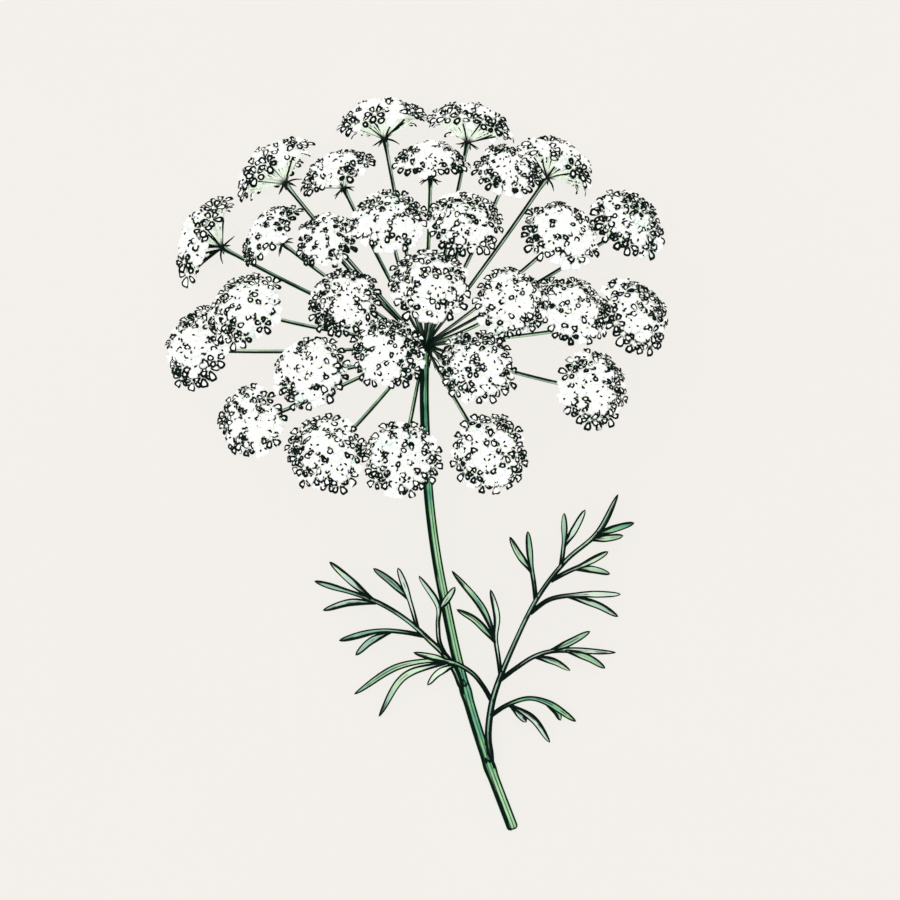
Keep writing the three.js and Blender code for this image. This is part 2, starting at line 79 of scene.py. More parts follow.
# Leaves: x and y from the hub and z from the surface, nearly all as in the part's source
LOWER_LEAF = {
    "axis": [
        (17.4, -113, 2.9), (17.2, -107.5, 3.6), (17.6, -100.2, 5.2), (19, -93.8, 7.5), (24.1, -81.1, 11.5),
        (30.5, -68.3, 13.5), (38.1, -58.4, 12), (47, -50.5, 9), (52.4, -40.3, 5),
    ],
    "ribs": [
        [(17.6, -100.6, 5.1), (22.1, -97.6, 7.4), (27.9, -95.7, 8), (33, -96.8, 7), (41, -102.1, 2.6)],
        [(18.2, -96.7, 6.5), (15.8, -92.5, 8.6), (12.6, -88.7, 9.9), (6.4, -85.7, 10.4),
         (-6.8, -86.9, 8.6), (-19.3, -94.7, 2.6)],
        [(20.6, -90.4, 8.6), (19.9, -84.9, 11), (19.1, -79.4, 12.8), (19.4, -73.4, 14.4),
         (17.7, -66.1, 14.8)],
        [(20, -91, 8.5), (24.7, -87.4, 10.2), (29.8, -84.2, 10.6), (35.6, -82.7, 9.8), (51.8, -83.3, 4.6)],
        [(28.4, -72.6, 12.8), (33.6, -68.9, 13.2), (41, -67.6, 12), (53.1, -67.5, 6.8)],
        [(30, -69.2, 13.3), (29.5, -64.5, 14.8), (28.7, -59.4, 15.6), (27.8, -50.3, 14.8)],
        [(34, -63.8, 13), (38.7, -61.3, 13), (43, -59.4, 12), (49.7, -55.9, 8.6)],
        [(36.8, -60, 12.3), (37.4, -55.8, 13.4), (37.8, -51.6, 13.8), (37.7, -45.4, 12.6)],
    ],
    "lobes": [
        [(46, -51.3, 9.5), (51, -49.8, 8.2), (56.8, -48.1, 5.6)],
        [(44.6, -52.6, 10), (49.6, -52.2, 8), (53.8, -51.6, 5.8)],
        [(32.4, -96.6, 7.1), (35.4, -99, 5.4), (36.8, -101.8, 3.4)],
        [(22.6, -97.4, 7.4), (29.2, -101.2, 6), (33.9, -107.8, 2.2)],
        [(23.6, -98.2, 6.7), (25.5, -99.9, 5.8), (27.5, -102.3, 4.2)],
        [(6.6, -85.7, 10.4), (-5.4, -89.6, 8.2), (-12.6, -100.8, 1.8)],
        [(8.4, -86.4, 10.4), (3.4, -88.9, 9.2), (0.6, -92.2, 7.2)],
        [(6.8, -85.7, 10.4), (1, -84.2, 10.8), (-3.2, -83.2, 10.8)],
        [(19.3, -80.6, 12.5), (13.6, -74.4, 13.4), (8.5, -71.5, 12.4)],
        [(19.1, -79.4, 12.8), (15.4, -71, 14.2), (7.2, -61, 14)],
        [(33.4, -83.2, 10.2), (39.7, -80.3, 9.4), (44.8, -77.5, 7.6)],
        [(38, -82.6, 9.3), (44.6, -84.9, 7), (48.9, -87.6, 4.6)],
        [(29.6, -84.3, 10.5), (35.2, -85.7, 9), (39.4, -88.2, 6.6)],
        [(38.6, -67.9, 12.4), (46.8, -70.4, 9.6), (52.4, -73.6, 6)],
        [(28.9, -61.4, 15.4), (25.4, -56.4, 15.6), (22.9, -51.8, 14.4)],
        [(40.4, -60.5, 12.6), (45.4, -60.8, 10.8), (50.2, -62, 8)],
        [(37.5, -54.6, 13.6), (40.4, -50, 13.4), (43.4, -44.5, 11.6)],
    ],
}
UPPER_LEAF = {
    "axis": [
        (9.8, -92.6, 5.2), (8.2, -88.4, 6), (5.2, -83.8, 7.2), (1.8, -80.5, 8.6), (-4.6, -74.7, 10),
        (-12.9, -69.6, 10), (-30.1, -63.9, 3.4),
    ],
    "ribs": [
        [(5.6, -84.2, 7.1), (3.9, -80.4, 9.4), (3.5, -75.6, 10.9), (3.6, -70.6, 11.6), (-1.7, -62.4, 10.8)],
        [(-2, -77.1, 9.4), (-3.3, -72.1, 10.8), (-4.9, -66.9, 11.6), (-7.4, -60.2, 11.4)],
        [(-0.4, -78.7, 9.1), (-5.9, -77.7, 9.8), (-12.4, -77.4, 9), (-23.4, -80.1, 4)],
    ],
    "lobes": [
        [(-13.2, -69.7, 9.9), (-20.5, -69.7, 7.4), (-27.8, -71.9, 3.6)],
        [(-14.4, -68.8, 9.7), (-20.6, -63.4, 9.6), (-26, -58.6, 8)],
        [(3.6, -71.8, 11.4), (5.8, -69, 12), (8.2, -65.4, 12.2)],
        [(-4.3, -68.8, 11.3), (-9, -64.2, 11.2), (-14.1, -60.4, 9.2)],
        [(-9.4, -77.6, 9.4), (-14.9, -80.3, 7.6), (-18.9, -84.1, 4.8)],
    ],
}
LOBE_WIDTH = 2.3
RIB_WIDTH = 1.3
PETIOLE_WIDTH = 1.9
LEAST_WIDTH = 0.05
LOBE_THICKNESS = 0.42
RIB_THICKNESS = 0.55
AXIS_THICKNESS = 0.95

# Half of a blade's section, from its middle to its margin: places across, and heights above and
# below as shares of the thickness. The middle is a channel above and a keel below.
BLADE_ACROSS = np.array([0.0, 0.14, 0.5, 0.86, 1.0])
BLADE_OVER = np.array([0.05, 0.42, 0.46, 0.3, 0.0])
BLADE_UNDER = np.array([-0.85, -0.6, -0.42, -0.26, 0.0])
THINNEST = 0.35  # a blade's thickness where it has no width, as a share

# The sheath at a leaf's base, whose section is a curved strip
SHEATH_RINGS = 26
SHEATH_SIDES = 15
SHEATH_TOP_RADIUS = 0.85
PETIOLE_DROP = 6  # steps of the stem's line from the leaf's first point down to where the petiole starts

# The stem's ribs, and its swellings under the hub and at each leaf. Places and lengths along it are
# shares of its length.
STEM_RIBS = 11
STEM_RIB_DEPTH = 0.085  # share of the radius
POINTS_PER_RIB = 6
STEM_RINGS = 168
TOP_SWELLING = 0.5
TOP_SWELLING_START = 0.975
NODE_SWELLING = 0.16  # share of the radius
NODE_DROP = 0.012
NODE_LENGTH = 0.014

# Its cut foot
FOOT_BEVEL = 0.6  # the foot's end, as a share of the stem's radius
FOOT_ROUND = 0.008  # how much of the stem's length its rounded end takes
FOOT_LINE = 0.0022  # and the dark line round it
FOOT_RINGS = 7
CUT_OUT = 0.16  # how far the cut face stands out of the foot
CUT_RINGS = [(0.0, 0.0), (0.45, 0.02), (0.78, 0.05), (0.9, 0.1), (0.97, 0.02)]  # share of its radius, depth
CUT_BACK_RING = (0.93, 0.2)  # and the ring that closes it inside the stem
CUT_SIDES = 40

# How many points the stem's line is worked out at, for each use
SKIN_STEPS = 2000
PLACE_STEPS = 800
SHEATH_STEPS = 400
HUB_STEPS = 170
COURSE_STEPS = 24  # between two points of any course

# How high above the surface the lowest points stay
STEM_GAP = 0.02
CUT_GAP = 0.03
CUT_BACK_GAP = 0.05
SHEATH_GAP = 0.05
FLORET_GAP = 0.03

# Rays, knobs, bracts and bracteoles
RAY_STEPS = 40
RAY_RINGS = 26
RAY_SIDES = 15
RAY_END_SWELLING = 0.35
KNOB_RADIUS = 1.05
BRACTS = 9
BRACTEOLES = 7
AT_NODE = 0.04  # "along" of a limb that is dark, as a ray is at its root

# A head of florets of radius 10, in its own frame. A ring has a number of florets or buds and an
# angle from the head's middle, in degrees.
FLORET_RINGS = [(1, 0), (6, 23), (12, 46), (17, 68)]
BUD_RINGS = [(5, 12), (9, 35), (14, 57)]
FLORET_DISTANCE = 8.5
BUD_DISTANCE = 7.6
BUD_RADIUS = 0.8
BUD_STALK_RADIUS = 0.13
FLORET_TURN = 0.6  # how far a floret turns from facing outward to facing along the umbel's axis
BACK_SPREAD = 0.92  # a head that is seen from behind opens less, and its florets stand further out
BACK_REACH = 1.14

# A petal, with its outline as angles from its tip round its middle
PETALS = 5
PETAL_ANGLES = np.radians([0, 20, 46, 78, 112, 148, 180, 212, 248, 282, 314, 340])
PETAL_SIDES = len(PETAL_ANGLES)
PETAL_LENGTH = 2.3
PETAL_WIDTH = 2.2
PETAL_BASE = 0.3
PETAL_THICKNESS = 0.12
PETAL_TAPER = 0.42  # how much narrower a petal is at its base than at its tip
PETAL_MIDDLE = 0.54  # share of its length
PETAL_INNER = 0.3  # size of the ring between its outline and its middle, as a share
PETAL_NOTCH_ANGLE = 0.34
PETAL_CURL_START = 0.6  # share of its length
PETAL_GROOVE_DEPTH = 0.12
PETAL_GROOVE_WIDTH = 0.22
OUTER_PETAL_GROWTH = 0.3

# The rest of a floret. What ends in HALF is half a ball's length, width and height.
DISC_HALF = (0.42, 0.42, 0.26)
DISC_CENTRE = (0, 0, 0.12)
STAMEN_ROOT = (0.36, 0, 0.05)
FILAMENT_SECTION = np.array([[0, 0.04, 0.0], [0, -0.02, 0.035], [0, -0.02, -0.035]])
ANTHER_HALF = (0.22, 0.17, 0.14)
DARK_ANTHER_REACH = (0.36, 0.66)  # half its length is drawn between these
DARK_ANTHER_WIDTH = 0.68
DARK_ANTHER_HEIGHT = 0.48
OVARY_LENGTH = 1.3
OVARY_RADIUS = 0.42
PEDICEL_RADIUS = 0.2
PEDICEL_SHAPE = np.array([1.25, 1.0, 0.92, 0.9, 1.0, 1.25])  # its radius along it, as a share

# What is drawn with dark lines
RIM_DRAWN = 0.75  # share of the outermost florets that are drawn whole
DRAWN_INK = 0.95  # share of the petals of such a floret that are outlined
INSIDE_INK = 0.3  # share of all other petals that are outlined
DRAWN_LIFT = 0.45  # how much further out a floret that is drawn whole stands
OUTLINED_WIDTH = 0.7  # an outlined petal is narrower, so that the outlines stay apart
DARK_ANTHERS = 0.3  # share of them
DARK_PEDICELS = 0.34  # share of them
DARK_PEDICEL_MARGIN = np.array([0, 0, 0, 0, 0.3, 1.0])  # it pales under its floret
FLANK_HEIGHT = 0.35  # where an outline ends on a limb's flank, as the height of the way it faces
FLANK_GROWTH = 4.0  # how quickly the distance from the outline grows below that
PEN_SOFTNESS = 0.06

# Colours, as linear red, green and blue
INK = (0.004, 0.01, 0.008)
DEEP = (0.019, 0.124, 0.062)
TEAL = (0.093, 0.347, 0.223)
FRESH = (0.248, 0.496, 0.248)
PALE = (0.44, 0.67, 0.4)
PALEST = (0.92, 0.97, 0.88)
GREENS = (DEEP, TEAL, FRESH, PALE)
PITH_SHADES = ((0.01, 0.03, 0.02), (0.2, 0.36, 0.16), (0.46, 0.58, 0.34), (0.55, 0.62, 0.44))
PITH_PORE = (0.3, 0.36, 0.2)
PETAL_WHITE = (0.95, 0.955, 0.95)
PETAL_TINT = (0.4, 0.7, 0.62)
PETAL_BASE_GREEN = (0.6, 0.74, 0.48)
DISC_SHADES = ((0.74, 0.84, 0.66), (0.94, 0.96, 0.9))
FILAMENT_SHADES = ((0.8, 0.86, 0.76), (0.93, 0.95, 0.92))
ANTHER_SHADES = ((0.7, 0.74, 0.62), (0.85, 0.87, 0.78))
FLOOR_SHADES = ((0.11, 0.107, 0.103), (0.116, 0.112, 0.109))
FLOOR_LIGHT = (1.0, 0.972, 0.926)
ROOM_LIGHT = (1.0, 0.995, 0.985)

# Light that things give of their own colour, their gloss, and how high their bumps are
GREEN_GLOW = 0.35
FLORET_PAINTED_GLOW = 0.45  # painted glow: the floret's parts give light of their own colour, which lightens the shade between the petals
FLOOR_GLOW = 0.8
GLOSS = 0.15
BUMP_HEIGHT = 0.1

# Camera, floor and lights
CAMERA_OVER = (9.15, 3.95)  # the point below the middle of the picture
CAMERA_HEIGHT = 5000.0
CAMERA_REACH = 20000.0
PICTURE_WIDTH = 243.0  # what the picture takes in, at the height of the flower's middle
FOCUS_HEIGHT = 30.0
FLOOR_HALF = 6000.0
SUN_DIRECTION = (0.16, -0.14, -1)

# Values kept at each point for the materials, and what they are where a limb doesn't set them
VALUES = {
    "margin": 1.0,  # mm from the limb's outline
    "middle": 1.0,  # mm from its middle line
    "along": 1.0,  # share of its length
    "rib": 1.0,  # 1 on a rib, 0 in a furrow
    "ink": 0.0,  # how widely a petal is outlined
    "tone": 0.5,  # the limb's own shade
}

# A head's materials, in order
PETAL_LOOK, DISC_LOOK, FILAMENT_LOOK, ANTHER_LOOK = range(4)


def unit(vector):
    return vector / np.linalg.norm(vector, axis=-1, keepdims=True)


def mix(a, b, t):
    return a + (b - a) * t


def smooth(low, high, x):
    t = np.clip((x - low) / (high - low), 0, 1)
    return t * t * (3 - 2 * t)


def angles_round(count):
    """Even angles round a full turn."""
    return np.arange(count) / count * 2 * math.pi


def on_ball(polar, angle):
    return math.sin(polar) * math.cos(angle), math.sin(polar) * math.sin(angle), math.cos(polar)


def into_scene(name, data):
    thing = bpy.data.objects.new(name, data)
    bpy.context.scene.collection.objects.link(thing)
    return thing


class Growth:
    """Points, triangles and shading values of one piece, gathered limb by limb."""

    def __init__(self):
        self.points = []
        self.faces = []
        self.looks = []
        self.values = {name: [] for name in VALUES}
        self.count = 0

    def add(self, points, faces, look=0, **values):
        self.points.append(points)
        self.faces.append(faces + self.count)
        self.looks.append(np.full(len(faces), look, np.int32))
        for name, usual in VALUES.items():
            self.values[name].append(np.broadcast_to(values.get(name, usual), len(points)))
        self.count += len(points)

    def take(self, other, shift):
        """Adds all of another growth, moved by `shift`."""
        self.points += [points + shift for points in other.points]
        self.faces += [faces + self.count for faces in other.faces]
        self.looks += other.looks
        for name in VALUES:
            self.values[name] += other.values[name]
        self.count += other.count

    def lowest(self):
        return min(points[:, 2].min() for points in self.points)

    def piece(self, name, materials, nodes, slot):
        """Makes the piece, which replaces the frame's `nodes`."""
        mesh = bpy.data.meshes.new(name)
        points = np.concatenate(self.points) * METRE
        mesh.from_pydata(points, [], np.concatenate(self.faces), shade_flat=False)
        mesh.polygons.foreach_set("material_index", np.concatenate(self.looks))
        for value, parts in self.values.items():
            attribute = mesh.attributes.new(value, "FLOAT", "POINT")
            attribute.data.foreach_set("value", np.concatenate(parts).astype(np.float32))
        for material in materials:
            mesh.materials.append(material)
        piece = into_scene(name, mesh)
        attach(piece, "root")
        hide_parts(*nodes)


def course(points, count):
    """A smooth line through the points, as `count` points at even distances."""
    points = np.asarray(points, float)
    padded = np.vstack([2 * points[0] - points[1], points, 2 * points[-1] - points[-2]])
    fine = []
    for level in zip(padded, padded[1:], padded[2:], padded[3:]):
        knots = np.cumsum([0] + [np.linalg.norm(b - a) ** 0.5 for a, b in zip(level, level[1:])])
        t = np.linspace(knots[1], knots[2], COURSE_STEPS, endpoint=False)[:, None]
        for reach in (1, 2):
            pairs = zip(level, level[1:], knots, knots[reach:])
            level = [mix(a, b, (t - start) / (end - start)) for a, b, start, end in pairs]
        fine.append(mix(*level, (t - knots[1]) / (knots[2] - knots[1])))
    fine = np.vstack(fine + [points[-1:]])
    distance = np.concatenate([[0], np.cumsum(np.linalg.norm(np.diff(fine, axis=0), axis=1))])
    even = np.linspace(0, distance[-1], count)
    return np.stack([np.interp(even, distance, fine[:, k]) for k in range(3)], axis=1)


def frames_along(line, up=UP, turn=0.0):
    """Directions across, above and along a line at each of its points. The first two are turned
    about it by `turn` radians."""
    along = unit(np.gradient(line, axis=0))
    across = unit(np.cross(along, up))
    above = np.cross(across, along)
    turn = np.broadcast_to(turn, len(line))[:, None]
    return (
        across * np.cos(turn) + above * np.sin(turn),
        above * np.cos(turn) - across * np.sin(turn),
        along,
    )


def halved(a, b, c, d):
    """Two triangles for each face with the corners a, b, c and d."""
    return np.concatenate([np.stack([a, b, c], 1), np.stack([a, c, d], 1)])


def grid_faces(rings, sides):
    """Triangles between rings of points, each of them closed."""
    ring, side = np.meshgrid(np.arange(rings - 1), np.arange(sides), indexing="ij")
    low = ring * sides + side
    next_low = ring * sides + (side + 1) % sides
    corners = [low, next_low, next_low + sides, low + sides]
    return halved(*(corner.ravel() for corner in corners))


def cap(tip, start, sides, turned=False):
    """Triangles from the point `tip` to each edge of the ring whose points begin at `start`."""
    side = start + np.arange(sides)
    near = np.roll(side, -1)
    edge = [near, side] if turned else [side, near]
    return np.stack([np.full(sides, tip), *edge], 1)


def swept_points(line, sections, across, above):
    """Corners of a limb. sections[ring, side] holds a corner's distances across and above."""
    return line[:, None] + across[:, None] * sections[..., :1] + above[:, None] * sections[..., 1:]


def swept(growth, line, sections, frames, **values):
    """Adds a closed limb, with a value for each ring, each side or each corner."""
    rings, sides = sections.shape[:2]
    body = swept_points(line, sections, *frames[:2])
    points = np.concatenate([body.reshape(-1, 3), line[:1], line[-1:]])
    corners = rings * sides
    ends = [cap(corners, 0, sides, turned=True), cap(corners + 1, corners - sides, sides)]
    spread = {}
    for name, value in values.items():
        grid = np.broadcast_to(value, (rings, sides))
        spread[name] = np.concatenate([grid.reshape(-1), [grid[0].mean(), grid[-1].mean()]])
    growth.add(points, np.concatenate([grid_faces(rings, sides), *ends]), **spread)


def outline_distance(line, frames, angle, radii, heavy, light):
    """How far each corner of a tube is from its outline as seen from above, in mm. On the left it
    counts for less, so that the dark line there is `heavy` times as wide. On the right it counts
    `light` mm more. It grows quickly down the flanks, so that they and the underside stay green."""
    across, above, along = frames
    side = unit(np.cross(along, UP))
    outward = across[:, None] * np.sin(angle)[None, :, None] + above[:, None] * np.cos(angle)[None, :, None]
    share = (outward * side[:, None]).sum(axis=2)
    left = (1 + share) * radii[:, None] / heavy
    right = (1 - share) * radii[:, None] + light
    level = np.sqrt(1 - along[:, 2] ** 2)[:, None]
    down = np.maximum(0, FLANK_HEIGHT * level - outward[..., 2]) * radii[:, None] * FLANK_GROWTH
    return np.minimum(left, right) + down


def tube(growth, line, radii, sides, up=UP, ribs=0, rib_depth=0.0, heavy=1.0, light=0.0, floor=False,
         **values):
    """A round or ribbed limb. A limb on the floor is flattened where it would go under the surface."""
    radii = np.broadcast_to(radii, len(line))
    angle = angles_round(sides)
    crest = 0.5 + 0.5 * np.cos(angle * ribs) if ribs else np.ones(sides)
    reach = 1 - rib_depth * (1 - crest)
    outline = np.stack([np.sin(angle), np.cos(angle)], 1) * reach[:, None]
    sections = radii[:, None, None] * outline[None]
    if floor:
        sections[..., 1] = np.maximum(sections[..., 1], STEM_GAP - line[:, 2][:, None])
    frames = frames_along(line, up)
    values = {
        "margin": outline_distance(line, frames, angle, radii, heavy, light),
        "along": np.linspace(0, 1, len(line))[:, None],
        "rib": crest[None],
        **values,
    }
    swept(growth, line, sections, frames, **values)


def blade_section(width, thickness, fold):
    """Corners of a blade's section at each ring, and each corner's place across, -1 to 1."""
    right = BLADE_ACROSS
    across = np.concatenate([-right[::-1], right[1:], right[-2:0:-1], -right[:-1]])
    height = np.concatenate([BLADE_OVER[::-1], BLADE_OVER[1:], BLADE_UNDER[-2:0:-1], BLADE_UNDER[:-1]])
    x = across[None] * width[:, None] / 2
    y = height[None] * thickness[:, None] + fold * np.abs(x)
    return np.stack([x, y], -1), across


def blade(growth, path, width_of, thickness=LOBE_THICKNESS, fold=0.25, step=0.6, turn=0.0, up=UP, **values):
    """A leaf blade along a path. The dark line along one of its margins is wider than the other."""
    length = np.linalg.norm(np.diff(np.asarray(path, float), axis=0), axis=1).sum()
    count = max(6, round(length / step))
    line = course(path, count)
    t = np.linspace(0, 1, count)
    width = width_of(t)
    thick = thickness * mix(THINNEST, 1, np.clip(width / width.max(), 0, 1))
    sections, across = blade_section(width, thick, fold)
    half = width[:, None] / 2
    margin = (1 - np.abs(across))[None] * half
    heavy_side = rng.choice([-1, 1])
    margin = np.where(across[None] * heavy_side > 0, margin / rng.uniform(1.1, 2.3), margin)
    values = {"tone": rng.uniform(0, 1), "along": t[:, None], **values}
    swept(growth, line, sections, frames_along(line, up, turn * t), margin=margin,
          middle=np.abs(across)[None] * half, **values)


def pointed(width, power, least):
    """The width of a narrow blade with a sharp tip, at each share of its length."""
    return lambda t: width * (1 - t**power) + least


def from_hub(points):
    return np.asarray(points, float) + [HUB[0], HUB[1], 0.0]


# Stem
def stem_line(count):
    foot = -STEM_COURSE[0][1]
    points = []
    for x, y in STEM_COURSE:
        share = (y + foot) / foot
        z = mix(STEM_REST_HEIGHT, HUB[2], share**STEM_CURVE_POWER)
        points.append((x, y, z))
    return course(from_hub(points), count)


def nearest_on(stem, point):
    """The step of the stem's line that is nearest a point as seen from above."""
    return np.argmin(np.linalg.norm(stem[:, :2] - point[:2], axis=1))


def stem_place(point):
    """Share of the stem's length at which it passes below a point."""
    return nearest_on(stem_line(PLACE_STEPS), point) / (PLACE_STEPS - 1)


def stem_radius(t):
    radius = mix(STEM_FOOT_RADIUS, STEM_TOP_RADIUS, t) + TOP_SWELLING * smooth(TOP_SWELLING_START, 1.0, t)
    off_round = 1 - np.clip(t / FOOT_ROUND, 0, 1)
    radius = radius * (FOOT_BEVEL + (1 - FOOT_BEVEL) * np.sqrt(1 - off_round**2))
    for leaf in (LOWER_LEAF, UPPER_LEAF):
        from_node = t - stem_place(from_hub(leaf["axis"])[0]) + NODE_DROP
        radius = radius * (1 + NODE_SWELLING * np.exp(-((from_node / NODE_LENGTH) ** 2)))
    return radius


def build_stem():
    growth = Growth()
    fine = stem_line(SKIN_STEPS)
    t = np.concatenate([np.linspace(0, FOOT_ROUND, FOOT_RINGS), np.linspace(FOOT_ROUND, 1, STEM_RINGS)[1:]])
    line = np.stack([np.interp(t, np.linspace(0, 1, len(fine)), fine[:, k]) for k in range(3)], axis=1)
    # painted shade: among the rays the upper stem is drawn darker, with wider dark lines on both sides
    shaded_among_rays = smooth(0.7, 0.85, t)
    heavy = mix(2.3, 1.6, t) + 0.9 * shaded_among_rays
    light = -0.2 * shaded_among_rays
    tube(growth, line, stem_radius(t), STEM_RIBS * POINTS_PER_RIB, ribs=STEM_RIBS, rib_depth=STEM_RIB_DEPTH,
         heavy=heavy[:, None], light=light[:, None], floor=True, along=t[:, None])
    growth.piece("stem_skin", [stem_material()], ["stem"], "stem")
    build_cut_face(line)


def build_cut_face(line):
    """The slanting cut: a rim of rind round pale, spongy pith."""
    start = line[0]
    along = unit(line[1] - start)
    across = unit(np.cross(along, UP))
    above = np.cross(across, along)
    angle = angles_round(CUT_SIDES)

    def ring(share, depth, gap):
        radius = share * STEM_FOOT_RADIUS * FOOT_BEVEL
        height = np.maximum(radius * np.cos(angle), gap - start[2])
        return start + across * (radius * np.sin(angle))[:, None] + above * height[:, None] + along * depth

    back_share, back_depth = CUT_BACK_RING
    points = [ring(share, depth - CUT_OUT, CUT_GAP) for share, depth in CUT_RINGS]
    points += [ring(back_share, back_depth, CUT_BACK_GAP), start[None] + along * back_depth]
    last = len(CUT_RINGS) * CUT_SIDES
    end = cap(last + CUT_SIDES, last, CUT_SIDES)
    faces = np.concatenate([grid_faces(len(CUT_RINGS) + 1, CUT_SIDES), end])
    shares = np.repeat([share for share, _ in CUT_RINGS] + [1], CUT_SIDES)
    margin = (1 - np.append(shares, 1)) * STEM_FOOT_RADIUS
    growth = Growth()
    growth.add(np.concatenate(points), faces, margin=margin)
    growth.piece("stem_cut", [pith_material()], ["stem"], "stem")


# Umbel
def ray_line(end, count):
    direction = unit(end)
    inward = unit(unit(UMBEL_AXIS) - direction * np.dot(unit(UMBEL_AXIS), direction))
    middle = end * 0.55 - inward * RAY_BOW * np.linalg.norm(end)
    t = np.linspace(0, 1, count)[:, None]
    return HUB + 2 * t * (1 - t) * middle + t * t * end


def facing_of(end):
    """The way that the head at a ray's end faces."""
    line = ray_line(end, RAY_STEPS)
    facing = unit(line[-1] - line[-2])
    if end[2] > LEVEL_RAY:
        facing = facing + unit(UMBEL_AXIS) * TURN_TO_AXIS
    return unit(facing)


def head_axes(facing):
    """Rows of the turn that takes +Z to the head's facing, along the shortest way."""
    turn = Vector((0, 0, 1)).rotation_difference(Vector(facing))
    return np.array(turn.to_matrix()).T


def petal_faces():
    """Triangles of a petal's points: its outline, the ring above and the ring below, and two middles."""
    side = np.arange(PETAL_SIDES)
    near = np.roll(side, -1)
    over, under, middle = (PETAL_SIDES * ring for ring in (1, 2, 3))
    return np.concatenate([
        halved(side, near, over + near, over + side),
        cap(middle, over, PETAL_SIDES),
        halved(near, side, under + side, under + near),
        cap(middle + 1, under, PETAL_SIDES, turned=True),
    ])


def ball(rings, sides):
    """A unit ball as points and triangles, with its poles along Z."""
    polars = np.linspace(0, math.pi, rings + 1)[1:-1]
    points = [on_ball(polar, angle) for polar in polars for angle in angles_round(sides)]
    points = np.array(points + [(0, 0, 1), (0, 0, -1)])
    corners = len(points) - 2
    ends = [cap(corners, 0, sides), cap(corners + 1, corners - sides, sides, turned=True)]
    return points, np.concatenate([grid_faces(rings - 1, sides)[:, ::-1], *ends])


PETAL_FACES = petal_faces()
PETAL_BAND = (1 - PETAL_INNER) * PETAL_WIDTH / 2
PETAL_MARGINS = np.repeat([0, PETAL_BAND, 1], [PETAL_SIDES, 2 * PETAL_SIDES, 2])
DISC_BALL = ball(4, 8)
FILAMENT_FACES = np.concatenate([grid_faces(3, 3), [[0, 1, 2], [6, 8, 7]]])
ANTHER_BALL = ball(3, 5)
BUD_BALL = ball(4, 7)
OVARY_BALL = ball(3, 6)
KNOB_BALL = ball(6, 12)
HUB_BALL = ball(10, 24)


def petal_points(length, width, notch, rise, curl, cup):
    """A notched, cupped petal that lies along +X from the floret's middle, with +Z out of the floret,
    and the share of its length at each point."""
    off_tip = np.minimum(PETAL_ANGLES, 2 * math.pi - PETAL_ANGLES)
    reach = 1 - notch * np.exp(-((off_tip / PETAL_NOTCH_ANGLE) ** 2))
    x = length / 2 * (1 + np.cos(PETAL_ANGLES) * reach)
    y = width / 2 * np.sin(PETAL_ANGLES) * (1 + PETAL_TAPER * np.cos(PETAL_ANGLES))
    outline = np.stack([x, y], 1)
    middle = np.array([length * PETAL_MIDDLE, 0.0])
    inner = middle + (outline - middle) * PETAL_INNER
    x, y = np.concatenate([outline, inner, inner, [middle, middle]]).T
    curled = curl * np.maximum(x - length * PETAL_CURL_START, 0) ** 2
    groove = PETAL_GROOVE_DEPTH * np.exp(-((y / PETAL_GROOVE_WIDTH) ** 2))
    half = PETAL_THICKNESS / 2
    layer = np.concatenate([np.repeat([0, half, -half], PETAL_SIDES), [half, -half]])
    z = rise * x - curled + cup * y**2 - groove + layer
    return np.stack([x + PETAL_BASE, y, z], 1), np.clip(x / length, 0, 1)


def spun(points, angle):
    """The points turned about Z."""
    cosine, sine = math.cos(angle), math.sin(angle)
    return points @ np.array([[cosine, sine, 0], [-sine, cosine, 0], [0, 0, 1]])


def add_petal(put, angle, size, ring_share, ink, tone):
    """One petal. It is larger on the side away from the head's middle."""
    larger = OUTER_PETAL_GROWTH * ring_share * max(0, math.cos(angle)) ** 2
    outlined = rng.uniform() < ink
    width = PETAL_WIDTH * (1 + larger * 0.8) * rng.uniform(0.9, 1.06)
    if outlined:
        width *= OUTLINED_WIDTH
    points, along = petal_points(
        PETAL_LENGTH * (1 + larger) * rng.uniform(0.9, 1.06),
        width,
        notch=rng.uniform(0.08, 0.26) * (0.5 if outlined else 1),
        rise=rng.uniform(0.08, 0.28),
        curl=rng.uniform(0.1, 0.4),
        cup=rng.uniform(0.05, 0.22),
    )
    line = mix(0.8, 1.0, ink) * rng.uniform(0.85, 1.2) if outlined else 0
    margin = PETAL_MARGINS * width / PETAL_WIDTH * size
    put(spun(points, angle), PETAL_FACES, PETAL_LOOK, margin=margin, along=along, ink=line, tone=tone)


def add_stamen(put, angle):
    """A thin filament with its anther. A few anthers are dark, and those are larger."""
    reach = rng.uniform(0.9, 1.35)
    height = rng.uniform(0.75, 1.05)
    knee = (reach * 0.55, 0, height * 0.75)
    tip = np.array([reach, 0, height])
    line = np.stack([STAMEN_ROOT, knee, tip])
    points = (line[:, None] + FILAMENT_SECTION).reshape(-1, 3)
    put(spun(points, angle), FILAMENT_FACES, FILAMENT_LOOK)
    dark = rng.uniform() < DARK_ANTHERS
    half = ANTHER_HALF
    if dark:
        half = (rng.uniform(*DARK_ANTHER_REACH), DARK_ANTHER_WIDTH / 2, DARK_ANTHER_HEIGHT / 2)
    points, faces = ANTHER_BALL
    put(spun(points * half + tip, angle), faces, ANTHER_LOOK, tone=1 if dark else 0)


def add_floret(growth, origin, axes, size, ring_share, ink):
    """One floret: five petals, the pale disc in the middle and five stamens. ink is the share of its
    petals that are outlined."""
    tone = rng.uniform(0, 1)
    spin = rng.normal(0, 0.2)

    def put(points, faces, look, **values):
        growth.add(origin + (points * size) @ axes, faces, look, **values)

    for k in range(PETALS):
        angle = spin + k * 2 * math.pi / PETALS
        add_petal(put, angle, size, ring_share, ink, tone)
        add_stamen(put, angle + math.pi / PETALS)
    points, faces = DISC_BALL
    put(points * DISC_HALF + DISC_CENTRE, faces, DISC_LOOK, tone=tone)


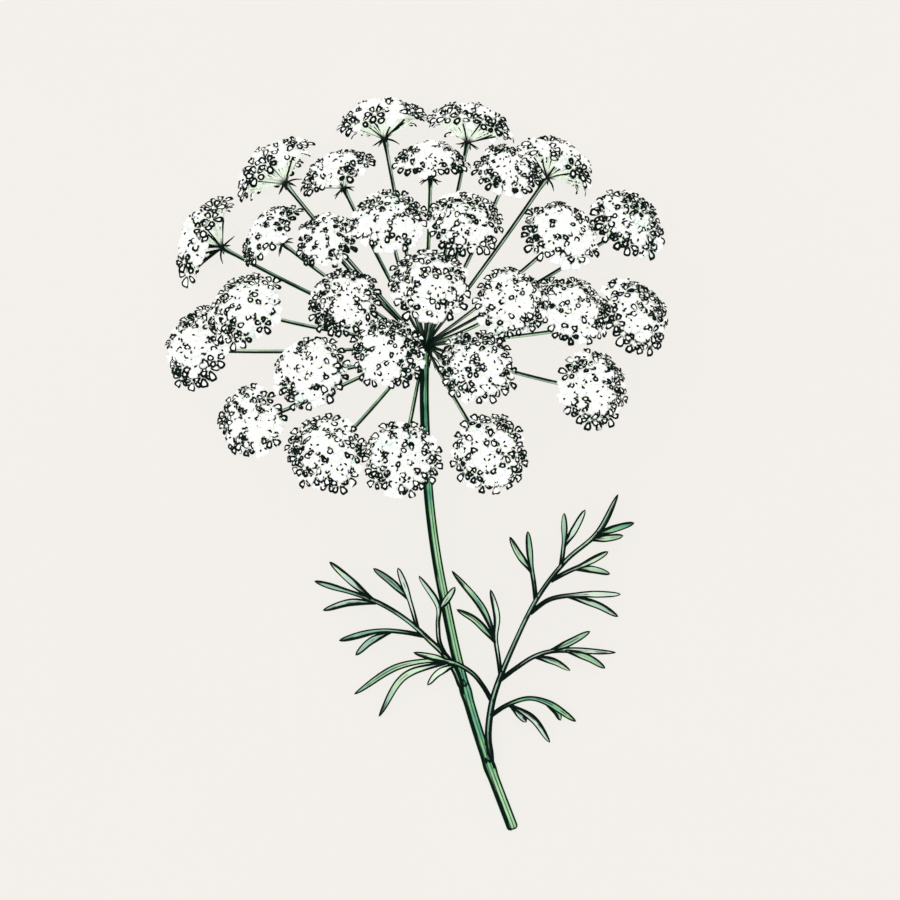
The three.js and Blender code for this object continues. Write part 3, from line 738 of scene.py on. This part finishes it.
def places_on(rings, spread):
    """Direction and ring share, 0 to 1, of each floret or bud on a head's dome."""
    for ring, (count, degrees) in enumerate(rings):
        shift = rng.uniform(0, 2 * math.pi)
        for i in range(count):
            angle = shift + (i + rng.normal(0, 0.07)) / count * 2 * math.pi
            polar = math.radians(degrees + rng.normal(0, 3.0)) * spread
            yield np.array(on_ball(polar, angle)), ring / (len(rings) - 1)


def floret_axes(direction, middle):
    """Rows are the floret's X, Y and Z. Z is where it faces: out from the head, but turned towards
    the light along the umbel's axis. X points away from the head's middle."""
    facing = unit(direction + unit(UMBEL_AXIS) * FLORET_TURN + rng.normal(0, 0.07, 3))
    away = direction - middle * (direction @ middle)
    x = unit(away - facing * (away @ facing))
    return np.stack([x, np.cross(facing, x), facing])


def ink_of(outward, ring_share):
    """Share of a floret's petals that are outlined. Most florets round the head's outline are drawn
    whole, and of the others single petals are."""
    rim = smooth(0.64, 0.88, np.linalg.norm(outward[:2]))
    if ring_share == 1:
        rim = max(rim, rng.uniform(0.5, 1.0))
    return DRAWN_INK if rng.uniform() < rim * RIM_DRAWN else INSIDE_INK


def build_head(end, radius, stalks):
    """Adds the head's pedicels to the stalks and returns its florets and buds. Where a floret would
    go under the surface it is pushed up onto it."""
    facing = facing_of(end)
    axes = head_axes(facing)
    node = HUB + end
    scale = radius / UNIT_RADIUS
    front = smooth(0.1, 0.6, facing[2])
    spread = mix(BACK_SPREAD, 1.0, front)
    reach = scale * mix(BACK_REACH, 1.0, front)
    middle = facing * mix(0.5, 0.0, front)
    head = Growth()
    for local, share in places_on(FLORET_RINGS, spread):
        direction = local @ axes
        ink = ink_of((direction - middle) * mix(1.3, 1, front), share)
        uneven = rng.uniform(-0.5, 0.5) + share**4 * rng.uniform(-0.3, 1.1)
        if ink == DRAWN_INK:
            uneven += DRAWN_LIFT
        origin = node + direction * (FLORET_DISTANCE + uneven) * reach
        size = scale * rng.uniform(0.94, 1.08) * mix(0.92, 1.06, share)
        turned = floret_axes(direction, facing)
        floret = Growth()
        add_floret(floret, origin, turned, size, share, ink)
        lift = UP * max(0.0, FLORET_GAP - floret.lowest())
        head.take(floret, lift)
        add_pedicel(stalks, node, origin + lift, turned[2], size)
    for local, _ in places_on(BUD_RINGS, spread):
        place = node + (local @ axes) * (BUD_DISTANCE + rng.uniform(-0.5, 0.4)) * reach
        place[2] = max(place[2], BUD_RADIUS * scale * 1.2)
        add_bud(head, stalks, node, place, scale)
    return head


def add_bud(head, stalks, node, place, scale):
    """A round bud that hasn't opened, on its thin pedicel."""
    points, faces = BUD_BALL
    points = points * BUD_RADIUS * scale * rng.uniform(0.75, 1.1)
    head.add(place + points, faces, DISC_LOOK, tone=rng.uniform(0, 1))
    foot = place - unit(place - node) * BUD_RADIUS * scale * 0.6
    line = np.stack([mix(node, foot, t) for t in (0.08, 0.4, 1.0)])
    tube(stalks, line, BUD_STALK_RADIUS * scale, 3, margin=1.0, along=np.array([[0.05], [0.4], [1.0]]),
         tone=1.2)


def add_pedicel(stalks, node, origin, facing, size):
    """A pedicel from the node at the end of the ray, and the ovary below the floret. Some of the
    pedicels are dark lines, and the rest are dark only at the node."""
    side = unit(np.cross(facing, [0.3, 0.5, 0.8]))
    axes = np.stack([side, np.cross(facing, side), facing])
    points, faces = OVARY_BALL
    points = points * [OVARY_RADIUS, OVARY_RADIUS, OVARY_LENGTH / 2] * size
    centre = origin - facing * OVARY_LENGTH * 0.5 * size
    stalks.add(centre + points @ axes, faces, tone=rng.uniform(1, 1.25))
    foot = origin - facing * OVARY_LENGTH * 0.92 * size
    start = node + unit(foot - node) * KNOB_RADIUS * 0.4
    sag = mix(start, foot, 0.55) + side * rng.normal(0, 0.16) + unit(facing) * 0.25
    rings = len(PEDICEL_SHAPE)
    line = course([start, sag, foot], rings)
    dark = rng.uniform() < DARK_PEDICELS
    radii = PEDICEL_RADIUS * size * PEDICEL_SHAPE * (1.3 if dark else 1)
    margin = DARK_PEDICEL_MARGIN[:, None] if dark else 1.0
    tube(stalks, line, radii, 4, up=side, margin=margin, along=np.linspace(AT_NODE, 0.8, rings)[:, None],
         tone=rng.uniform(1, 1.25))


def add_ray(stalks, end, up):
    line = ray_line(end, RAY_RINGS)
    t = np.linspace(0, 1, RAY_RINGS)
    radii = mix(RAY_ROOT_RADIUS, RAY_TIP_RADIUS, np.clip(2 * t, 0, 1))
    radii = radii + RAY_END_SWELLING * (smooth(0.08, 0.0, t) + smooth(0.93, 1.0, t))
    heavy = radii * rng.uniform(3.8, 4.9)
    tone = rng.uniform(0, 0.4) + 0.5 * t
    tube(stalks, line, radii, RAY_SIDES, up=up, ribs=5, rib_depth=0.2,
         heavy=heavy[:, None], light=0.06, tone=tone[:, None])


def add_bracteoles(stalks, node, axes, scale):
    """The knob at the end of a ray, and the bracteoles that bend back from it."""
    points, faces = KNOB_BALL
    squat = points * [KNOB_RADIUS, KNOB_RADIUS, KNOB_RADIUS * 0.85]
    stalks.add(node + (squat * scale) @ axes, faces, along=AT_NODE)
    shift = rng.uniform(0, 2 * math.pi)
    for k in range(BRACTEOLES):
        angle = shift + (k + rng.normal(0, 0.12)) / BRACTEOLES * 2 * math.pi
        out = np.array([math.cos(angle), math.sin(angle), 0.0])
        length = rng.uniform(3.0, 4.4)
        path = [
            out * 0.5 + [0, 0, -0.1],
            out * (0.5 + length * 0.45) + [0, 0, -0.75],
            out * (0.45 + length * 0.85) + [0, 0, -length * rng.uniform(0.3, 0.55)],
        ]
        path = [node + (point * scale) @ axes for point in path]
        blade(stalks, path, pointed(0.95 * scale, 2.2, LEAST_WIDTH), thickness=0.3, step=0.9, up=axes[2],
              along=AT_NODE)


def hub_frame():
    """Directions down the stem from the hub, to its side and ahead."""
    line = stem_line(HUB_STEPS)
    down = unit(line[-4] - line[-1])
    side = unit(np.array([1.0, 0, 0]) - down * down[0])
    return down, side, np.cross(down, side)


def add_hub(stalks):
    """The knot where the rays meet, and the whorl of bracts under it."""
    down, side, ahead = hub_frame()
    points, faces = HUB_BALL
    half = [HUB_RADIUS, HUB_RADIUS, HUB_RADIUS * 0.8]
    stalks.add(HUB + (points * half) @ np.stack([side, ahead, -down]), faces, along=AT_NODE)
    for k in range(BRACTS):
        angle = (k + 0.5 + rng.normal(0, 0.1)) / BRACTS * 2 * math.pi
        outward = side * math.cos(angle) + ahead * math.sin(angle)
        add_bract(stalks, HUB + down * 0.9 + outward, outward, down, rng.uniform(6.0, 7.5))


def add_bract(stalks, root, outward, down, length):
    """A narrow bract that forks in three, bent down along the stem."""
    sideways = np.cross(down, outward)

    def at(out, aside, drop):
        return root + outward * out + sideways * aside + down * drop

    bend = rng.uniform(0.55, 0.85)
    fork = at(length * 0.3, 0, length * 0.18)
    middle = [at(-0.3, 0, 0), fork, at(length * 0.62, 0, length * bend)]
    blade(stalks, middle, pointed(0.85, 2.5, 0.08), thickness=0.28, step=0.7, up=-down)
    for way in (-1, 1):
        tip = at(length * 0.56, way * length * 0.26, length * bend * 0.82)
        knee = mix(fork, tip, 0.5) + sideways * way * 0.3 + outward * 0.25
        blade(stalks, [fork, knee, tip], pointed(0.55, 2.5, 0.06), thickness=0.22, step=0.7, up=-down)


def build_umbel():
    stalks = Growth()
    looks = [petal_material(), disc_material(), filament_material(), anther_material()]
    add_hub(stalks)
    for number, (place, radius) in enumerate(UMBELLETS, start=1):
        end = np.array(place, float)
        florets = build_head(end, radius, stalks)
        axes = head_axes(facing_of(end))
        add_ray(stalks, end, axes[1])
        add_bracteoles(stalks, HUB + end, axes, radius / UNIT_RADIUS)
        florets.piece(f"umbellet_{number:02d}_florets", looks, [f"umbellet_{number:02d}"], "petal")
    stalks.piece("umbel_stalks_fine", [stalk_material()], ["umbel_stalks"], "stalk")


# Leaves
def blunt(t, power):
    """Closes a blade in a short rounded tip, sooner for a lower power."""
    return (1 - t**power) ** 0.62


def lobe_width(t):
    """A lobe's width at each share of its length."""
    return LOBE_WIDTH * (0.5 + 0.5 * smooth(0, 0.45, t)) * (1 - 0.22 * t) * blunt(t, 7) + LEAST_WIDTH


def rib_width(t):
    """A rib that runs out into a lobe."""
    change = smooth(0.45, 0.75, t)
    width = LOBE_WIDTH * change * (1 - 0.2 * t) + RIB_WIDTH * (1 - change)
    return width * blunt(t, 11) + LEAST_WIDTH


def axis_width(t):
    """A petiole and axis that run out into the leaf's end lobe."""
    change = smooth(0.8, 0.92, t)
    rib = mix(PETIOLE_WIDTH, RIB_WIDTH, smooth(0.1, 0.5, t)) * (1 - change)
    width = LOBE_WIDTH * change * (1 - 0.2 * t) + rib
    return width * blunt(t, 22) * (0.25 + 0.75 * smooth(0, 0.06, t)) + LEAST_WIDTH


def build_leaf(name, node, leaf):
    growth = Growth()
    axis = from_hub(leaf["axis"])
    add_sheath(growth, axis)
    path = [petiole_root(axis), *axis[1:]]
    blade(growth, path, axis_width, thickness=AXIS_THICKNESS, fold=0.12, tone=0.35)
    for rib in leaf["ribs"]:
        turn = rng.normal(0, 0.25)
        blade(growth, from_hub(rib), rib_width, thickness=RIB_THICKNESS, fold=0.18, turn=turn)
    for lobe in leaf["lobes"]:
        blade(growth, from_hub(lobe), lobe_width, fold=0.22, turn=rng.normal(0, 0.4))
    growth.piece(name, [leaf_material()], [node], "leaf")


def petiole_root(axis):
    """Where the petiole starts: on the stem's upper side, under the top of the sheath."""
    stem = stem_line(SHEATH_STEPS)
    first, second = (nearest_on(stem, point) for point in axis[:2])
    out = unit((axis[0] - stem[first]) * 0.65 + (axis[1] - stem[second]) * 0.35)
    radius = stem_radius(first / (SHEATH_STEPS - 1))
    return stem[max(0, first - PETIOLE_DROP)] + out * (radius + 0.1)


def sheath_sections(t, inside):
    """Outer and inner corners of the sheath's section at each ring, and their places from its middle,
    0 to 1. It clasps a stem of radius `inside` below and closes round the petiole's keel above."""
    wrap = np.radians(mix(104, 58, smooth(0.0, 0.6, t)))
    narrow = smooth(0.02, 0.5, t)
    outer = mix(inside + 0.1, SHEATH_TOP_RADIUS, narrow)
    inner = mix(inside - 0.15, SHEATH_TOP_RADIUS - 0.3, narrow)
    share = np.linspace(-1, 1, SHEATH_SIDES)
    angle = wrap[:, None] * share[None]
    middle = (outer + inner)[:, None] / 2
    half = (outer - inner)[:, None] / 2 * (1 - 0.8 * np.abs(share) ** 3)
    direction = np.stack([np.sin(angle), np.cos(angle)], -1)
    over = direction * (middle + half)[..., None]
    under = direction * (middle - half)[..., None]
    from_middle = np.abs(np.concatenate([share, share[::-1]]))
    return np.concatenate([over, under[:, ::-1]], axis=1), from_middle


def sheath_faces(sides):
    """The sheath's faces, with the strips that close its first and its last ring."""
    over = np.arange(SHEATH_SIDES - 1)
    under = sides - 1 - over
    end = halved(over, over + 1, under - 1, under)
    last = (SHEATH_RINGS - 1) * sides
    return np.concatenate([grid_faces(SHEATH_RINGS, sides), end[:, ::-1], end + last])


def add_sheath(growth, axis):
    """A leaf's base: it wraps the stem and narrows into the channelled petiole."""
    stem = stem_line(SHEATH_STEPS)
    first, second = (stem[nearest_on(stem, point)] for point in axis[:2])
    toward = unit(axis[1] - second)
    top = mix(axis[1], axis[2], 0.4) - toward * (SHEATH_TOP_RADIUS + 0.1)
    line = course([first, mix(second, axis[1], 0.45), top], SHEATH_RINGS)
    t = np.linspace(0, 1, SHEATH_RINGS)
    along = unit(np.gradient(line, axis=0))
    above = unit(toward[None] - along * (along @ toward)[:, None])
    radius = mix(STEM_FOOT_RADIUS, STEM_TOP_RADIUS, stem_place(axis[0]))
    sections, from_middle = sheath_sections(t, radius)
    body = swept_points(line, sections, np.cross(along, above), above)
    body[..., 2] = np.maximum(body[..., 2], SHEATH_GAP)
    sides = len(from_middle)
    width = mix(radius * 1.6, 0.8, smooth(0.02, 0.5, t))[:, None]
    margin = (1 - from_middle)[None] * np.minimum(width, t[:, None] * 12)
    middle = from_middle[None] * width
    growth.add(body.reshape(-1, 3), sheath_faces(sides), margin=margin.reshape(-1),
               middle=middle.reshape(-1), along=np.repeat(t * 0.08, sides), tone=0.1)


# Materials
class Look:
    """A node material, and the steps that its values and colours are worked out in. Each value is a
    number or a node's output, and a noise's scale is per metre."""

    def __init__(self, name):
        self.material = bpy.data.materials.new(name)
        self.material.use_nodes = True

    def feed(self, node, place, value):
        """Sets an input to a number or a colour, or links it to an output."""
        socket = node.inputs[place]
        if isinstance(value, tuple):
            socket.default_value = (*value, 1)
        elif isinstance(value, (int, float)):
            socket.default_value = value
        else:
            self.material.node_tree.links.new(value, socket)

    def node(self, kind, inputs, output, **settings):
        """Makes a node and returns one of its outputs."""
        node = self.material.node_tree.nodes.new("ShaderNode" + kind)
        for name, value in settings.items():
            setattr(node, name, value)
        for place, value in inputs.items():
            self.feed(node, place, value)
        return node.outputs[output]

    def value(self, name):
        return self.node("Attribute", {}, "Fac", attribute_name=name)

    def noise(self, scale, detail):
        place = self.node("TexCoord", {}, "Object")
        inputs = {"Scale": scale, "Detail": detail, "Roughness": 0.55, "Vector": place}
        return self.node("TexNoise", inputs, "Fac")

    def maths(self, operation, *numbers):
        return self.node("Math", dict(enumerate(numbers)), 0, operation=operation)

    def times(self, a, b):
        return self.maths("MULTIPLY", a, b)

    def scaled(self, value, factor, shift):
        return self.maths("MULTIPLY_ADD", value, factor, shift)

    def step(self, value, low, high):
        """0 at `low`, 1 at `high`, smooth between. `low` may be the higher of the two."""
        inputs = {"Value": value, "From Min": low, "From Max": high}
        return self.node("MapRange", inputs, "Result", interpolation_type="SMOOTHSTEP")

    def blend(self, share, a, b):
        return self.node("Mix", {"Factor": share, "A": a, "B": b}, "Result", data_type="RGBA")

    def ramp(self, value, places, colours):
        """Runs through the colours, each of which has its place, as the value goes from 0 to 1."""
        colour = self.node("ValToRGB", {"Fac": value}, "Color")
        elements = colour.node.color_ramp.elements
        while len(elements) < len(places):
            elements.new(0.5)
        for element, place, shade in zip(elements, places, colours):
            element.position = place
            element.color = (*shade, 1)
        return colour

    def broken(self, scale, low, high):
        """Breaks a dark line up, as a pen does."""
        return self.step(self.noise(scale, 2), low, high)

    def pen_line(self, width, sway, scale):
        """A dark line along the outline, about `width` mm wide. It swells and thins, as a pen's does."""
        wander = self.scaled(self.noise(scale, 2), sway, -sway / 2)
        beyond = self.maths("SUBTRACT", self.value("margin"), self.maths("ADD", width, wander))
        return self.step(beyond, PEN_SOFTNESS, -PEN_SOFTNESS)

    def finish(self, colour, glow, roughness, bumps, strength, ink=None, light=None):
        """Joins all to the shader. The material gives a little light of its own colour, or of the
        colour `light`. The roughness is its lowest, its highest and its noise's scale. Where there
        is ink the material doesn't shine."""
        low, high, scale = roughness
        relief = {"Strength": strength, "Distance": BUMP_HEIGHT * METRE, "Height": bumps}
        for place, value in {
            "Base Color": colour,
            "Emission Color": light or colour,
            "Emission Strength": glow,
            "Roughness": self.scaled(self.noise(scale, 3), high - low, low),
            "Normal": self.node("Bump", relief, "Normal"),
            "Specular IOR Level": self.scaled(ink, -GLOSS, GLOSS) if ink else GLOSS,
        }.items():
            self.feed(self.material.node_tree.nodes["Principled BSDF"], place, value)
        return self.material


def stem_material():
    look = Look("stem_green")
    patches = look.ramp(look.noise(55, 4), (0.3, 0.41, 0.52, 0.66), GREENS)
    ribs = look.value("rib")
    lit = look.blend(look.step(ribs, 0.0, 0.6), DEEP, patches)
    furrow = look.times(look.step(ribs, 0.25, 0.05), look.broken(150, 0.5, 0.6))
    side = look.pen_line(0.5, sway=0.44, scale=140)
    foot = look.step(look.value("along"), FOOT_LINE * 1.3, FOOT_LINE)
    dark = look.maths("MAXIMUM", look.maths("MAXIMUM", furrow, side), foot)
    colour = look.blend(dark, lit, INK)
    bumps = look.scaled(ribs, 0.5, look.noise(1800, 4))
    return look.finish(colour, GREEN_GLOW, (0.4, 0.62, 400), bumps, 0.25, dark)


def pith_material():
    look = Look("stem_pith")
    inward = look.maths("DIVIDE", look.value("margin"), STEM_FOOT_RADIUS)
    base = look.ramp(inward, (0.02, 0.2, 0.4, 1.0), PITH_SHADES)
    pores = look.noise(2600, 3)
    colour = look.blend(look.step(pores, 0.35, 0.6), PITH_PORE, base)
    return look.finish(colour, GREEN_GLOW, (0.6, 0.85, 900), pores, 0.5)


def stalk_material():
    look = Look("stalk_green")
    patches = look.ramp(look.noise(70, 3), (0.4, 0.52, 0.66), GREENS[1:])
    toned = look.blend(look.times(look.value("tone"), 0.8), patches, PALEST)
    rooted = look.blend(look.step(look.value("along"), 0.26, 0.05), toned, INK)
    lit = look.blend(look.step(look.value("rib"), 0.0, 0.5), DEEP, rooted)
    side = look.pen_line(0.27, sway=0.16, scale=150)
    colour = look.blend(side, lit, INK)
    return look.finish(colour, GREEN_GLOW, (0.42, 0.65, 500), look.noise(1600, 4), 0.25, side)


def leaf_material():
    look = Look("leaf_green")
    patches = look.ramp(look.noise(60, 3), (0.36, 0.46, 0.58, 0.7), GREENS)
    toned = look.blend(look.times(look.value("tone"), 0.6), patches, PALEST)
    along = look.value("along")
    middle = look.value("middle")
    rooted = look.blend(look.times(look.step(along, 0.16, 0.0), 0.9), toned, DEEP)
    vein = look.times(look.step(middle, 0.2, 0.1), look.broken(130, 0.5, 0.6))
    veined = look.blend(look.times(vein, 0.8), rooted, INK)
    width = look.scaled(look.step(along, 0.5, 0.0), 0.38, 0.41)
    margin = look.pen_line(width, sway=0.36, scale=130)
    colour = look.blend(margin, veined, INK)
    bumps = look.scaled(middle, -0.4, look.noise(1500, 4))
    return look.finish(colour, GREEN_GLOW, (0.4, 0.62, 400), bumps, 0.3, margin)


def petal_material():
    look = Look("petal_white")
    tint = look.step(look.noise(150, 2), 0.64, 0.74)
    white = look.blend(look.times(tint, 0.45), PETAL_WHITE, PETAL_TINT)
    along = look.value("along")
    greened = look.blend(look.times(look.step(along, 0.16, 0.0), 0.3), white, PETAL_BASE_GREEN)
    width = look.scaled(look.value("ink"), 0.67, -0.1)
    line = look.times(look.pen_line(width, sway=0.22, scale=300), look.step(along, 0.03, 0.12))
    line = look.times(line, look.broken(260, 0.3, 0.38))
    colour = look.blend(line, greened, INK)
    # painted glow of the petal's own colour lightens the shade between the petals
    return look.finish(colour, FLORET_PAINTED_GLOW, (0.5, 0.7, 900), look.noise(2400, 3), 0.15, line)


def disc_material():
    look = Look("floret_disc")
    colour = look.ramp(look.noise(1500, 2), (0.35, 0.65), DISC_SHADES)
    # painted glow of the disc's own colour lightens its shade among the petals
    return look.finish(colour, FLORET_PAINTED_GLOW, (0.25, 0.45, 900), look.noise(3000, 2), 0.2)


def filament_material():
    look = Look("filament")
    colour = look.ramp(look.noise(900, 2), (0.3, 0.7), FILAMENT_SHADES)
    # painted glow of the filament's own colour lightens its shade among the petals
    return look.finish(colour, FLORET_PAINTED_GLOW, (0.45, 0.6, 900), look.noise(3000, 2), 0.1)


def anther_material():
    look = Look("anther")
    pale = look.ramp(look.noise(1300, 2), (0.35, 0.7), ANTHER_SHADES)
    colour = look.blend(look.step(look.value("tone"), 0.5, 0.52), pale, INK)
    # painted glow of the anther's own colour lightens its shade among the petals
    return look.finish(colour, FLORET_PAINTED_GLOW, (0.6, 0.8, 900), look.noise(3000, 2), 0.3)


def floor_material():
    look = Look("pale_floor")
    colour = look.ramp(look.noise(9, 3), (0.3, 0.7), FLOOR_SHADES)
    return look.finish(colour, FLOOR_GLOW, (0.8, 0.95, 60), look.noise(700, 3), 0.05, light=FLOOR_LIGHT)


# Setting
def build_floor():
    mesh = bpy.data.meshes.new("floor")
    half = FLOOR_HALF * METRE
    corners = [(-half, -half, 0), (half, -half, 0), (half, half, 0), (-half, half, 0)]
    mesh.from_pydata(corners, [], [(0, 1, 2, 3)])
    mesh.materials.append(floor_material())
    floor = into_scene("floor", mesh)


def build_lights():
    """A soft lamp almost overhead, which keeps shadows short, and an even room light."""
    light = bpy.data.lights.new("key", "SUN")
    light.energy = 0.75
    light.angle = 1.0
    lamp = into_scene("key", light)
    lamp.rotation_euler = Vector(SUN_DIRECTION).to_track_quat("-Z", "Y").to_euler()
    world = bpy.data.worlds.new("studio")
    world.use_nodes = True
    background = world.node_tree.nodes["Background"]
    background.inputs["Color"].default_value = (*ROOM_LIGHT, 1)
    background.inputs["Strength"].default_value = 0.62
    bpy.context.scene.world = world


def build_camera():
    camera = bpy.data.cameras.new("camera")
    camera.sensor_fit = "HORIZONTAL"
    camera.angle = 2 * math.atan(PICTURE_WIDTH / 2 / (CAMERA_HEIGHT - FOCUS_HEIGHT))
    camera.clip_end = CAMERA_REACH * METRE
    holder = into_scene("camera", camera)
    holder.location = (CAMERA_OVER[0] * METRE, CAMERA_OVER[1] * METRE, CAMERA_HEIGHT * METRE)
    bpy.context.scene.camera = holder


build_camera()
build_lights()
build_floor()
build_stem()
build_leaf("leaf_lower_fine", "leaf_lower", LOWER_LEAF)
build_leaf("leaf_upper_fine", "leaf_upper", UPPER_LEAF)
build_umbel()
bpy.context.scene.view_settings.view_transform = "Standard"
